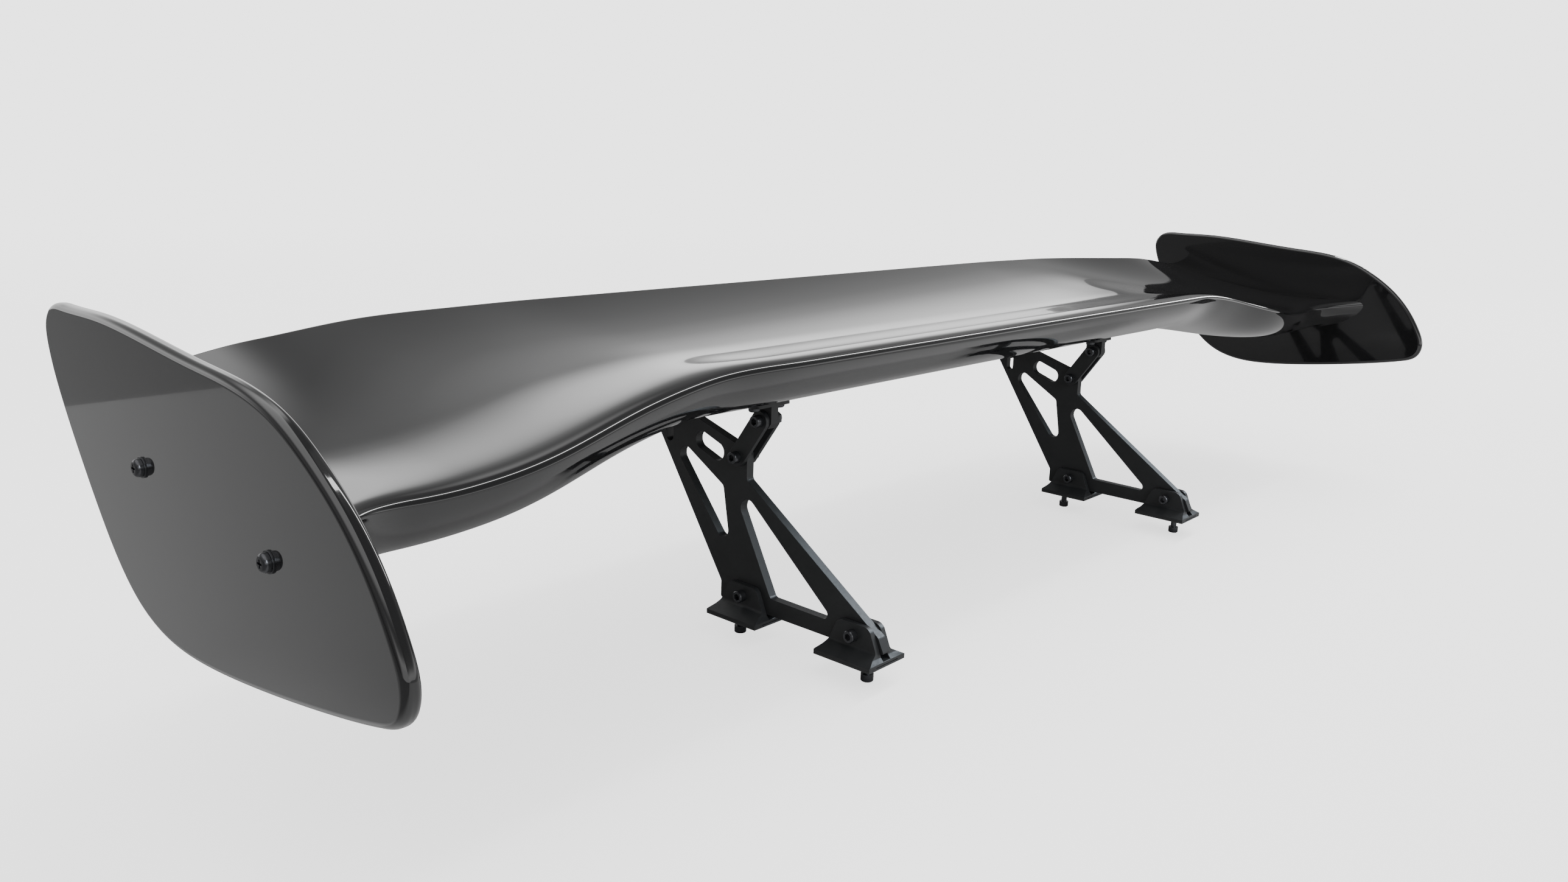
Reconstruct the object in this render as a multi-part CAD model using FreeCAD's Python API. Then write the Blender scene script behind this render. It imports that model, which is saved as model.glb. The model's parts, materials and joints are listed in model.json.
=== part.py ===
"""Racing rear wing: a hollow aerofoil blade with drooped tips and leaf-shaped end plates, carried on two
plate stands. Each stand has two swivelling clevis feet, a pair of link bars to the blade's front bracket,
and an upright slot that holds the blade's rear bracket, so the angle of attack can be set.

Frame, in millimetres: X along the span with +X to the car's left, -Y towards the car's front, +Z up.
The origin is the centre of the four deck bolts, in the plane that the foot pads rest on.
"""
import FreeCAD, Part
import math
import os
from FreeCAD import Vector

# ---- blade ------------------------------------------------------------------------------------------
BLADE_HALF_SPAN = 714.4
NOSE_Y = -37.0
NOSE_Z = 225.0
TAIL_Y = 254.5
TAIL_Z = 243.0
# outboard of the flat middle the nose drops, the tail sweeps forward, and the nose runs forward again
DROOP_START = 330.0
DROOP_WIDTH = 330.0
DROOP_DEPTH = 35.0
NOSE_SWEEP_START = 430.0
NOSE_SWEEP_WIDTH = 170.0
NOSE_SWEEP = 17.0
NOSE_DIMPLE_PLACE = 395.0
NOSE_DIMPLE_WIDTH = 45.0
NOSE_DIMPLE = 4.5
TIP_NOSE_START = 640.0
TIP_NOSE_REACH = 47.0
TIP_NOSE_POWER = 2.2
TIP_LIFT_START = 600.0
TIP_LIFT = 9.5
TAIL_EASE_START = 318.0
TAIL_EASE_WIDTH = 180.0
TAIL_EASE = 9.0
TAIL_SWEEP = 82.0
TAIL_SWEEP_WIDTH = 280.0
TAIL_DROP = 10.3
TAIL_DROP_WIDTH = 130.0
CAMBER = 0.10
THICKNESS = 0.14
CAMBER_PLACE = 0.40
# the lower side is fuller behind its nose towards the drooped ends, and slims down again at the tips
BELLY_MIDDLE = 2.0
BELLY_OUTBOARD = 15.5
BELLY_START = 230.0
BELLY_WIDTH = 630.0
BELLY_FADE_START = 650.0
BELLY_FADE_WIDTH = 75.0
BELLY_FALL = 6
SKIN_THICKNESS = 2.8
TRAILING_EDGE_THICKNESS = 2.8
CAVITY_FRONT = 0.025
CAVITY_REAR = 0.93
SECTION_POINTS = 14
LOFT_PLACES = (0.0, 120.0, 230.0, 300.0, 340.0, 370.0, 395.0, 420.0, 450.0, 480.0, 510.0, 540.0, 570.0,
               600.0, 630.0, 650.0, 670.0, 690.0, 703.0, BLADE_HALF_SPAN)
TIP_RIB_WIDTH = 12.0
RIB_FRONT = 0.05
RIB_REAR = 0.88
GLUE_LINE = 0.3

# ---- end plates -------------------------------------------------------------------------------------
PLATE_THICKNESS = 9.6
PLATE_EDGE_RADIUS = 4.0
PLATE_OUTLINE = (
    (-176.6, 156.0), (-171.8, 143.0), (-155.0, 135.1), (-123.8, 128.3), (-80.2, 120.6), (-31.9, 113.6),
    (14.5, 109.1), (55.5, 110.1), (89.8, 120.4), (116.6, 140.0), (137.7, 163.8), (159.0, 192.5),
    (178.8, 223.0), (190.0, 248.3), (190.6, 264.5), (182.0, 273.9), (161.2, 276.8), (115.8, 276.8),
    (57.8, 272.9), (-2.0, 267.3), (-52.0, 262.3), (-82.5, 254.0), (-107.1, 241.4), (-132.6, 223.5),
    (-154.6, 200.7), (-170.2, 176.5),
)
PLATE_SCREW_PLACES = ((-68.6, 186.4), (66.4, 203.2))

# ---- stands -----------------------------------------------------------------------------------------
STAND_PLACE = 271.2
STAND_THICKNESS = 8.0
LINK_LOWER = (68.0, 133.4)
LINK_UPPER = (44.8, 166.8)
SLOT_Y = 149.5
SLOT_BOTTOM = 135.4
SLOT_TOP = 165.0
SLOT_RADIUS = 4.0
SLOT_BOLT_Z = 154.5
# corner y, z and corner radius, going round the plate from its lower rear corner
STAND_OUTLINE = (
    (86.0, 9.6, 1.5), (86.0, 24.0, 3.0), (172.0, 154.1, 9.0), (166.0, 176.0, 8.0), (136.0, 176.0, 8.0),
    (120.0, 157.9, 12.0), (60.0, 139.3, 7.0), (60.0, 115.3, 5.0), (-78.0, 21.4, 6.0), (-84.0, 9.6, 1.5),
    (-61.6, 5.6, 4.0), (-53.6, 5.6, 4.0), (-38.0, 8.0, 4.0), (38.0, 8.0, 4.0), (53.6, 5.6, 4.0),
    (61.6, 5.6, 4.0),
)
FRONT_HOLE = ((84.0, 124.0, 7.9), (-35.7, 21.4, 4.2), (30.7, 22.2, 4.0))
REAR_HOLE = ((161.5, 150.3, 7.3), (85.8, 105.5, 5.0), (75.1, 44.6, 6.6))
SHORT_SLOT = ((93.5, 132.6), (110.9, 138.9))
SHORT_SLOT_RADIUS = 7.5

# ---- feet -------------------------------------------------------------------------------------------
FOOT_PLACE = 57.6
FOOT_LENGTH = 54.0
FOOT_HALF_WIDTH = 21.9
FOOT_PIVOT_Z = 19.2
FOOT_FLOOR_Z = 4.6
FOOT_SLOT_HALF = 4.25
FOOT_EAR_OUTSIDE = 8.9
PAD_THICKNESS = 1.6
PAD_HOLE_RADIUS = 4.2
FOOT_RELIEF = 0.8
DECK_BOLT_PLACE = 66.5
DECK_BOLT_HEAD_Z = -11.3
# half of the foot's side outline, from under the flange up to the ear's crown: corners and radii
EAR_CORNERS = ((27.0, -3.0, 1.0), (27.0, 4.2, 0.8), (24.0, 7.5, 3.0), (15.0, 28.8, 7.5))

# ---- links, brackets and fasteners ------------------------------------------------------------------
LINK_HALF_WIDTH = 8.0
LINK_THICKNESS = 4.0
SIDE_GAP = 0.2
BRACKET_FLANGE_HALF = 19.0
FRONT_FLANGE_HALF_DEPTH = 9.5
REAR_FLANGE_HALF_DEPTH = 19.0
BRACKET_FLANGE_THICKNESS = 4.0
BRACKET_SCREW_OFFSET = 14.0
REAR_EAR_THICKNESS = 4.0
M5_RADIUS = 2.5
M5_HEAD_RADIUS = 4.8
M5_HEAD_HEIGHT = 3.3
M5_HOLE_RADIUS = 2.75
M6_RADIUS = 3.0
M6_THREAD_RADIUS = 2.9
M6_RUNNING_RADIUS = 3.05
M6_HEAD_RADIUS = 5.0
M6_HEAD_HEIGHT = 6.0
M6_NUT_FLATS = 10.0
M6_NUT_HEIGHT = 5.0
HEX_KEY_FLATS = 5.0
INSERT_RADIUS = 4.2
INSERT_LENGTH = 9.0
TIP_INSERT_RADIUS = 3.5
TIP_INSERT_LENGTH = 8.0

SIDES = {"right": -1.0, "left": 1.0}
ALONG_X = Vector(1, 0, 0)
ALONG_Z = Vector(0, 0, 1)


def save(name, *solids):
    """Write one node: a single solid, or a group of separate ones."""
    shape = solids[0] if len(solids) == 1 else Part.makeCompound(list(solids))
    shape.exportStep("parts/" + name + ".step")


# ---- small geometry helpers -------------------------------------------------------------------------
def cylinder(radius, length, base, axis=ALONG_X):
    return Part.makeCylinder(radius, length, base, axis)


def rounded_polygon(corners):
    """Corners of (y, z, radius) as a closed wire at x = 0, with a tangent arc at each corner."""
    edges = []
    previous_end = None
    first_start = None
    count = len(corners)
    for i, (y, z, radius) in enumerate(corners):
        here = Vector(0, y, z)
        before = Vector(0, corners[i - 1][0], corners[i - 1][1]) - here
        after = Vector(0, corners[(i + 1) % count][0], corners[(i + 1) % count][1]) - here
        before.normalize()
        after.normalize()
        half = before.getAngle(after) / 2
        reach = radius / math.tan(half)
        start = here + before * reach
        end = here + after * reach
        middle_way = before + after
        middle_way.normalize()
        middle = here + middle_way * (radius / math.sin(half) - radius)
        if previous_end is not None:
            edges.append(Part.makeLine(previous_end, start))
        else:
            first_start = start
        edges.append(Part.Arc(start, middle, end).toShape())
        previous_end = end
    edges.append(Part.makeLine(previous_end, first_start))
    return Part.Wire(edges)


def slab(wire, x_low, x_high):
    """A wire in the plane x = 0 as a plate from x_low to x_high."""
    plate = Part.Face(wire).extrude(Vector(x_high - x_low, 0, 0))
    plate.translate(Vector(x_low, 0, 0))
    return plate


def stadium(start, end, radius):
    """Round-ended bar outline between two (y, z) centres, at x = 0."""
    a = Vector(0, *start)
    b = Vector(0, *end)
    along = b - a
    along.normalize()
    side = Vector(0, -along.z, along.y) * radius
    return Part.Wire([
        Part.makeLine(a + side, b + side),
        Part.Arc(b + side, b + along * radius, b - side).toShape(),
        Part.makeLine(b - side, a - side),
        Part.Arc(a - side, a - along * radius, a + side).toShape(),
    ])


def hexagon_prism(flats, length, base, axis):
    """Hexagonal bar across its flats, standing on base along axis."""
    corners = []
    for k in range(7):
        turn = math.radians(60 * k)
        corners.append(Vector(math.cos(turn), math.sin(turn), 0) * (flats / math.sqrt(3)))
    prism = Part.Face(Part.makePolygon(corners)).extrude(Vector(0, 0, length))
    prism.Placement = FreeCAD.Placement(base, FreeCAD.Rotation(ALONG_Z, axis))
    return prism


def socket_head(base, axis):
    """M6 cap head that stands on base, away from the shank, with its hexagon socket."""
    head = cylinder(M6_HEAD_RADIUS, M6_HEAD_HEIGHT, base, axis)
    rim = [edge for edge in head.Edges if len(edge.Vertexes) == 1 and
           abs((edge.CenterOfMass - base).dot(axis) - M6_HEAD_HEIGHT) < 0.01]
    head = head.makeChamfer(0.6, rim)
    return head.cut(hexagon_prism(HEX_KEY_FLATS, 3.4, base + axis * (M6_HEAD_HEIGHT - 3.0), axis))


def cross_bolt(x_head, x_end, y, z):
    """M6 cap screw along X: the head lies outside x_head, and the shank ends at x_end."""
    away = Vector(math.copysign(1.0, x_head - x_end), 0, 0)
    head = socket_head(Vector(x_head, y, z), away)
    shank = cylinder(M6_RADIUS, abs(x_head - x_end), Vector(x_end, y, z), away)
    return head.fuse(shank).removeSplitter()


def cross_nut(x_face, y, z):
    """Nylon-lock M6 nut on the +X side of x_face, bored to sit on the bolt's shank."""
    base = Vector(x_face, y, z)
    nut = hexagon_prism(M6_NUT_FLATS, M6_NUT_HEIGHT, base, ALONG_X)
    collar = cylinder(4.3, M6_NUT_HEIGHT + 1.2, base, ALONG_X)
    return nut.fuse(collar).cut(cylinder(M6_RADIUS, M6_NUT_HEIGHT + 2.4, base - ALONG_X, ALONG_X))


def pan_screw(face_point, into, length, radius, head_radius, head_height):
    """Pan-head screw with a cross recess: the head stands on face_point and the shank runs along into."""
    out = into * -1.0
    head = cylinder(head_radius, head_height, face_point, out)
    rim = [edge for edge in head.Edges if len(edge.Vertexes) == 1 and
           abs((edge.CenterOfMass - face_point).dot(out) - head_height) < 0.01]
    head = head.makeFillet(head_height * 0.6, rim)
    turn = FreeCAD.Rotation(ALONG_Z, out)
    for width, depth in ((4.4, 1.1), (1.1, 4.4)):
        recess = Part.makeBox(width, depth, 2.6, Vector(-width / 2, -depth / 2, head_height - 1.8))
        recess.Placement = FreeCAD.Placement(face_point, turn)
        head = head.cut(recess)
    return head.fuse(cylinder(radius, length, face_point, into)).removeSplitter()


# ---- the blade's shape ------------------------------------------------------------------------------
def ease(value):
    """Smooth step from 0 to 1 while value goes from 0 to 1, with no kink at either end."""
    t = min(max(value, 0.0), 1.0)
    return t ** 3 * (10 - 15 * t + 6 * t * t)


def nose_and_tail(x):
    """Leading edge y, z and trailing edge y, z at spanwise place x."""
    out = abs(x)
    to_tip = max(0.0, (out - TIP_NOSE_START) / (BLADE_HALF_SPAN - TIP_NOSE_START))
    to_lift = max(0.0, (out - TIP_LIFT_START) / (BLADE_HALF_SPAN - TIP_LIFT_START))
    dimple = math.exp(-((out - NOSE_DIMPLE_PLACE) / NOSE_DIMPLE_WIDTH) ** 2)
    nose_y = NOSE_Y + NOSE_DIMPLE * dimple - TIP_NOSE_REACH * to_tip ** TIP_NOSE_POWER
    nose_y -= NOSE_SWEEP * ease((out - NOSE_SWEEP_START) / NOSE_SWEEP_WIDTH)
    nose_z = NOSE_Z - DROOP_DEPTH * ease((out - DROOP_START) / DROOP_WIDTH) + TIP_LIFT * to_lift ** 2
    tail_y = TAIL_Y - TAIL_EASE * ease((out - TAIL_EASE_START) / TAIL_EASE_WIDTH)
    tail_y -= TAIL_SWEEP * ease((out - NOSE_SWEEP_START) / TAIL_SWEEP_WIDTH)
    tail_z = TAIL_Z - TAIL_DROP * ease((out - TIP_LIFT_START) / TAIL_DROP_WIDTH)
    return nose_y, nose_z, tail_y, tail_z


def half_thickness(s):
    """Half thickness over chord at s, for the classic four-figure aerofoil of this thickness."""
    return 5 * THICKNESS * (0.2969 * math.sqrt(s) - 0.1260 * s - 0.3516 * s ** 2
                            + 0.2843 * s ** 3 - 0.1036 * s ** 4)


def camber_drop(s):
    """How far the mean line lies below the chord, over chord."""
    if s < CAMBER_PLACE:
        return CAMBER / CAMBER_PLACE ** 2 * (2 * CAMBER_PLACE * s - s * s)
    return CAMBER / (1 - CAMBER_PLACE) ** 2 * (1 - 2 * CAMBER_PLACE + 2 * CAMBER_PLACE * s - s * s)


def belly_depth(x, s):
    """Extra depth of the lower side, deepest just behind the nose."""
    out = abs(x)
    outboard = ease((out - BELLY_START) / BELLY_WIDTH)
    outboard *= 1 - ease((out - BELLY_FADE_START) / BELLY_FADE_WIDTH)
    deepest = 1 / (2 * BELLY_FALL + 1)
    shape = math.sqrt(s / deepest) * ((1 - s) / (1 - deepest)) ** BELLY_FALL
    return (BELLY_MIDDLE + BELLY_OUTBOARD * outboard) * shape


def section_point(x, s, height):
    """A point at chord fraction s, height millimetres above the mean line, in the section at x."""
    nose_y, nose_z, tail_y, tail_z = nose_and_tail(x)
    chord = chord_at(x)
    along_y = (tail_y - nose_y) / chord
    along_z = (tail_z - nose_z) / chord
    up = height - camber_drop(s) * chord
    y = nose_y + along_y * s * chord - along_z * up
    z = nose_z + along_z * s * chord + along_y * up
    return Vector(x, y, z)


def chord_at(x):
    nose_y, nose_z, tail_y, tail_z = nose_and_tail(x)
    return math.hypot(tail_y - nose_y, tail_z - nose_z)


def outer_height(x, s, side):
    """Distance of the outer surface from the mean line; side is 1 above it and -1 below it."""
    height = half_thickness(s) * chord_at(x) + TRAILING_EDGE_THICKNESS / 2 * s
    return height + (belly_depth(x, s) if side < 0 else 0.0)


def cavity_height(x, s, side):
    """Distance of the cavity's wall from the mean line."""
    inside = (s - CAVITY_FRONT) / (CAVITY_REAR - CAVITY_FRONT)
    height = half_thickness(inside) * (chord_at(x) - 2 * SKIN_THICKNESS / THICKNESS)
    return height + (belly_depth(x, inside) if side < 0 else 0.0)


def section_curve(x, side, height_of, s_low, s_high):
    """Smooth edge on one side of the mean line, from s_low to s_high, with points bunched at both ends."""
    points = []
    for i in range(SECTION_POINTS + 1):
        s = s_low + (s_high - s_low) * (1 - math.cos(math.pi * i / SECTION_POINTS)) / 2
        points.append(section_point(x, s, side * height_of(x, s, side)))
    curve = Part.BSplineCurve()
    curve.interpolate(Points=points, Parameters=[i / SECTION_POINTS for i in range(SECTION_POINTS + 1)])
    return curve.toShape()


def skin_wire(x, side):
    """Closed section of one skin: side is 1 for the upper skin and -1 for the lower one."""
    outside = section_curve(x, side, outer_height, 0.0, 1.0)
    inside = section_curve(x, side, cavity_height, CAVITY_FRONT, CAVITY_REAR)
    nose = section_point(x, 0.0, 0.0)
    tail_middle = section_point(x, 1.0, 0.0)
    tail_outside = section_point(x, 1.0, side * TRAILING_EDGE_THICKNESS / 2)
    cavity_nose = section_point(x, CAVITY_FRONT, 0.0)
    cavity_tail = section_point(x, CAVITY_REAR, 0.0)
    return Part.Wire([
        outside,
        Part.makeLine(tail_outside, tail_middle),
        Part.makeLine(tail_middle, cavity_tail),
        inside,
        Part.makeLine(cavity_nose, nose),
    ])


def rib_wire(x):
    """Closed section of a tip rib: inside the cavity by the glue line, with a blunt nose and tail."""
    def height(place, s, side):
        return cavity_height(place, s, side) - GLUE_LINE

    top = section_curve(x, 1, height, RIB_FRONT, RIB_REAR)
    bottom = section_curve(x, -1, height, RIB_FRONT, RIB_REAR)
    nose = Part.makeLine(bottom.valueAt(bottom.FirstParameter), top.valueAt(top.FirstParameter))
    tail = Part.makeLine(top.valueAt(top.LastParameter), bottom.valueAt(bottom.LastParameter))
    return Part.Wire([top, tail, bottom, nose])


def span_loft(wire_at):
    places = [-x for x in reversed(LOFT_PLACES[1:])] + list(LOFT_PLACES)
    return Part.makeLoft([wire_at(x) for x in places], True, False)


def underside(x, y):
    """The lower skin's height and slope at (x, y)."""
    low, high = 0.05, 0.95
    for _ in range(40):
        s = (low + high) / 2
        if section_point(x, s, -outer_height(x, s, -1)).y < y:
            low = s
        else:
            high = s
    here = section_point(x, s, -outer_height(x, s, -1))
    ahead = section_point(x, s + 0.01, -outer_height(x, s + 0.01, -1))
    return here.z, math.atan2(ahead.z - here.z, ahead.y - here.y)


# ---- blade nodes ------------------------------------------------------------------------------------
def bracket_screw_frames():
    """Where the bracket screws enter the blade: (side name, place on the underside, direction in)."""
    frames = []
    for name, sign in SIDES.items():
        for y in (LINK_UPPER[0], SLOT_Y):
            z, slope = underside(STAND_PLACE, y)
            into = Vector(0, -math.sin(slope), math.cos(slope))
            for offset in (-BRACKET_SCREW_OFFSET, BRACKET_SCREW_OFFSET):
                frames.append((name, Vector(sign * STAND_PLACE + offset, y, z), into))
    return frames


def make_blade():
    upper_skin = span_loft(lambda x: skin_wire(x, 1))
    lower_skin = span_loft(lambda x: skin_wire(x, -1))
    drilled_skin = lower_skin
    for _, place, into in bracket_screw_frames():
        drilled_skin = drilled_skin.cut(cylinder(M5_HOLE_RADIUS, 12.0, place - into * 4.0, into))
    save("blade_upper_skin", upper_skin)
    save("blade_lower_skin", drilled_skin)
    for name, sign in SIDES.items():
        make_tip_rib(name, sign)
        make_mount_blocks(name, sign, lower_skin)
    return lower_skin


def make_tip_rib(name, sign):
    """Foam-cored closing rib at one tip, with the two threaded bushes for the end plate screws."""
    inner = sign * (BLADE_HALF_SPAN - TIP_RIB_WIDTH)
    rib = Part.makeLoft([rib_wire(inner), rib_wire(sign * BLADE_HALF_SPAN)], True, False)
    bushes = []
    for y, z in PLATE_SCREW_PLACES:
        face = Vector(sign * BLADE_HALF_SPAN, y, z)
        inwards = Vector(-sign, 0, 0)
        rib = rib.cut(cylinder(TIP_INSERT_RADIUS, TIP_RIB_WIDTH + 2.0, face - inwards, inwards))
        bush = cylinder(TIP_INSERT_RADIUS, TIP_INSERT_LENGTH, face, inwards)
        bushes.append(bush.cut(cylinder(M5_RADIUS, TIP_INSERT_LENGTH + 2.0, face - inwards, inwards)))
    save("tip_rib_" + name, rib)
    save("tip_bushes_" + name, *bushes)


def make_mount_blocks(name, sign, lower_skin):
    """Blocks bonded inside the lower skin over each bracket, with their threaded bushes."""
    bushes = []
    for label, y in (("front", LINK_UPPER[0]), ("rear", SLOT_Y)):
        z, slope = underside(STAND_PLACE, y)
        block = Part.makeBox(54.0, 36.0, 14.0, Vector(-27.0, -18.0, SKIN_THICKNESS / 2))
        block.rotate(Vector(), ALONG_X, math.degrees(slope))
        block.translate(Vector(sign * STAND_PLACE, y, z))
        block = block.cut(lower_skin)
        for owner, place, into in bracket_screw_frames():
            if owner == name and place.y == y:
                start = place + into * (SKIN_THICKNESS + 2.0)
                block = block.cut(cylinder(INSERT_RADIUS, 30.0, place - into, into))
                bush = cylinder(INSERT_RADIUS, INSERT_LENGTH, start, into)
                bushes.append(bush.cut(cylinder(M5_RADIUS, INSERT_LENGTH + 2.0, start - into, into)))
        save(label + "_mount_block_" + name, block)
    save("block_bushes_" + name, *bushes)


# ---- end plates -------------------------------------------------------------------------------------
def make_end_plate(name, sign):
    inner = sign * BLADE_HALF_SPAN
    outer = sign * (BLADE_HALF_SPAN + PLATE_THICKNESS)
    curve = Part.BSplineCurve()
    curve.interpolate(Points=[Vector(0, y, z) for y, z in PLATE_OUTLINE], PeriodicFlag=True)
    plate = slab(Part.Wire(curve.toShape()), min(inner, outer), max(inner, outer))
    rims = [edge for edge in plate.Edges if edge.Length > 500.0]
    plate = plate.makeFillet(PLATE_EDGE_RADIUS, rims)
    screws = []
    washers = []
    inwards = Vector(-sign, 0, 0)
    washer_thickness = 1.0
    for y, z in PLATE_SCREW_PLACES:
        face = Vector(outer, y, z)
        bore = cylinder(M5_HOLE_RADIUS, PLATE_THICKNESS + 4.0, face - inwards * 2.0, inwards)
        plate = plate.cut(bore)
        washer = cylinder(5.6, washer_thickness, face, Vector(sign, 0, 0))
        washers.append(washer.cut(bore))
        seat = face + Vector(sign * washer_thickness, 0, 0)
        screws.append(pan_screw(seat, inwards, 21.0, M5_RADIUS, M5_HEAD_RADIUS, M5_HEAD_HEIGHT + 0.4))
    save("end_plate_" + name, plate)
    save("end_plate_screws_" + name, *screws)
    save("end_plate_washers_" + name, *washers)


# ---- brackets under the blade -----------------------------------------------------------------------
def flange(x, y, half_depth):
    """Flange that follows the blade's underside at (x, y)."""
    z, slope = underside(STAND_PLACE, y)
    half = BRACKET_FLANGE_HALF
    corners = ((-half_depth, -half, 4.0), (half_depth, -half, 4.0), (half_depth, half, 4.0),
               (-half_depth, half, 4.0))
    plate = slab(rounded_polygon(corners), -BRACKET_FLANGE_THICKNESS, SKIN_THICKNESS / 2)
    plate.rotate(Vector(), Vector(0, 1, 0), -90.0)
    plate.rotate(Vector(), ALONG_X, math.degrees(slope))
    plate.translate(Vector(x, y, z))
    return plate, Vector(0, -math.sin(slope), math.cos(slope)), z


def make_brackets(name, sign, lower_skin):
    x = sign * STAND_PLACE
    half = STAND_THICKNESS / 2
    y, z = LINK_UPPER
    plate, _, flange_z = flange(x, y, FRONT_FLANGE_HALF_DEPTH)
    web = rounded_polygon((
        (y - 9.2, flange_z - 1.0, 0.5), (y - 9.2, z - 1.6, 2.0), (y - 5.4, z - 6.5, 2.0),
        (y + 5.4, z - 6.5, 2.0), (y + 9.2, z - 1.6, 2.0), (y + 9.2, flange_z - 1.0, 0.5),
    ))
    front = plate.fuse(slab(web, x - half, x + half)).cut(lower_skin)
    front = front.cut(cylinder(M6_RUNNING_RADIUS, STAND_THICKNESS + 2.0, Vector(x - half - 1.0, y, z)))

    plate, _, flange_z = flange(x, SLOT_Y, REAR_FLANGE_HALF_DEPTH)
    ears = []
    for ear_sign in (-1.0, 1.0):
        near = x + ear_sign * (half + SIDE_GAP)
        far = near + ear_sign * REAR_EAR_THICKNESS
        ear = rounded_polygon((
            (SLOT_Y - 13.0, flange_z - 3.0, 0.5), (SLOT_Y - 9.0, SLOT_BOLT_Z - 9.0, 8.0),
            (SLOT_Y + 9.0, SLOT_BOLT_Z - 9.0, 8.0), (SLOT_Y + 13.0, flange_z + 3.0, 0.5),
        ))
        ears.append(slab(ear, min(near, far), max(near, far)))
    rear = plate.fuse(ears).cut(lower_skin)
    rear = rear.cut(cylinder(M6_RADIUS, 30.0, Vector(x - 15.0, SLOT_Y, SLOT_BOLT_Z)))

    screws = []
    for owner, place, direction in bracket_screw_frames():
        if owner != name:
            continue
        hole = cylinder(M5_HOLE_RADIUS, 12.0, place - direction * 8.0, direction)
        if place.y == y:
            front = front.cut(hole)
        else:
            rear = rear.cut(hole)
        seat = place - direction * BRACKET_FLANGE_THICKNESS
        screws.append(pan_screw(seat, direction, 15.0, M5_RADIUS, M5_HEAD_RADIUS, M5_HEAD_HEIGHT))
    save("front_bracket_" + name, front.removeSplitter())
    save("rear_bracket_" + name, rear.removeSplitter())
    save("bracket_screws_" + name, *screws)

    outside = half + SIDE_GAP + REAR_EAR_THICKNESS
    washer_thickness = 1.2
    washers = []
    for place in (x - outside - washer_thickness, x + outside):
        washer = cylinder(6.2, washer_thickness, Vector(place, SLOT_Y, SLOT_BOLT_Z))
        washers.append(washer.cut(cylinder(M6_RADIUS, 4.0, Vector(place - 1.0, SLOT_Y, SLOT_BOLT_Z))))
    reach = outside + washer_thickness
    save("slot_bolt_" + name, cross_bolt(x - reach, x + reach + 7.5, SLOT_Y, SLOT_BOLT_Z))
    save("slot_nut_" + name, cross_nut(x + reach, SLOT_Y, SLOT_BOLT_Z))
    save("slot_washers_" + name, *washers)


# ---- links ------------------------------------------------------------------------------------------
def make_links(name, sign):
    x = sign * STAND_PLACE
    inside = STAND_THICKNESS / 2 + SIDE_GAP
    outside = inside + LINK_THICKNESS
    outline = stadium(LINK_LOWER, LINK_UPPER, LINK_HALF_WIDTH)
    for label, x_low in (("right_side", x - outside), ("left_side", x + inside)):
        bar = slab(outline, x_low, x_low + LINK_THICKNESS)
        for y, z in (LINK_LOWER, LINK_UPPER):
            bar = bar.cut(cylinder(M6_RADIUS, LINK_THICKNESS + 2.0, Vector(x_low - 1.0, y, z)))
        save("link_bar_" + label + "_" + name, bar)
    bolts = [cross_bolt(x - outside, x + outside + 7.0, y, z) for y, z in (LINK_LOWER, LINK_UPPER)]
    nuts = [cross_nut(x + outside, y, z) for y, z in (LINK_LOWER, LINK_UPPER)]
    save("link_bolts_" + name, *bolts)
    save("link_nuts_" + name, *nuts)


# ---- stands and feet --------------------------------------------------------------------------------
def make_stand(name, sign):
    x = sign * STAND_PLACE
    half = STAND_THICKNESS / 2
    plate = slab(rounded_polygon(STAND_OUTLINE), x - half, x + half)
    openings = [
        rounded_polygon(FRONT_HOLE),
        rounded_polygon(REAR_HOLE),
        stadium(SHORT_SLOT[0], SHORT_SLOT[1], SHORT_SLOT_RADIUS),
        stadium((SLOT_Y, SLOT_BOTTOM), (SLOT_Y, SLOT_TOP), SLOT_RADIUS),
    ]
    for opening in openings:
        plate = plate.cut(slab(opening, x - half - 1.0, x + half + 1.0))
    pivots = ((-FOOT_PLACE, FOOT_PIVOT_Z), (FOOT_PLACE, FOOT_PIVOT_Z))
    for y, z in pivots + (LINK_LOWER,):
        plate = plate.cut(cylinder(M6_RUNNING_RADIUS, STAND_THICKNESS + 2.0, Vector(x - half - 1.0, y, z)))
    save("stand_" + name, plate)
    reach = FOOT_EAR_OUTSIDE + 0.1
    save("foot_pivot_bolts_" + name, *[cross_bolt(x - reach, x + reach + 7.0, y, z) for y, z in pivots])
    save("foot_pivot_nuts_" + name, *[cross_nut(x + reach, y, z) for y, z in pivots])


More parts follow.
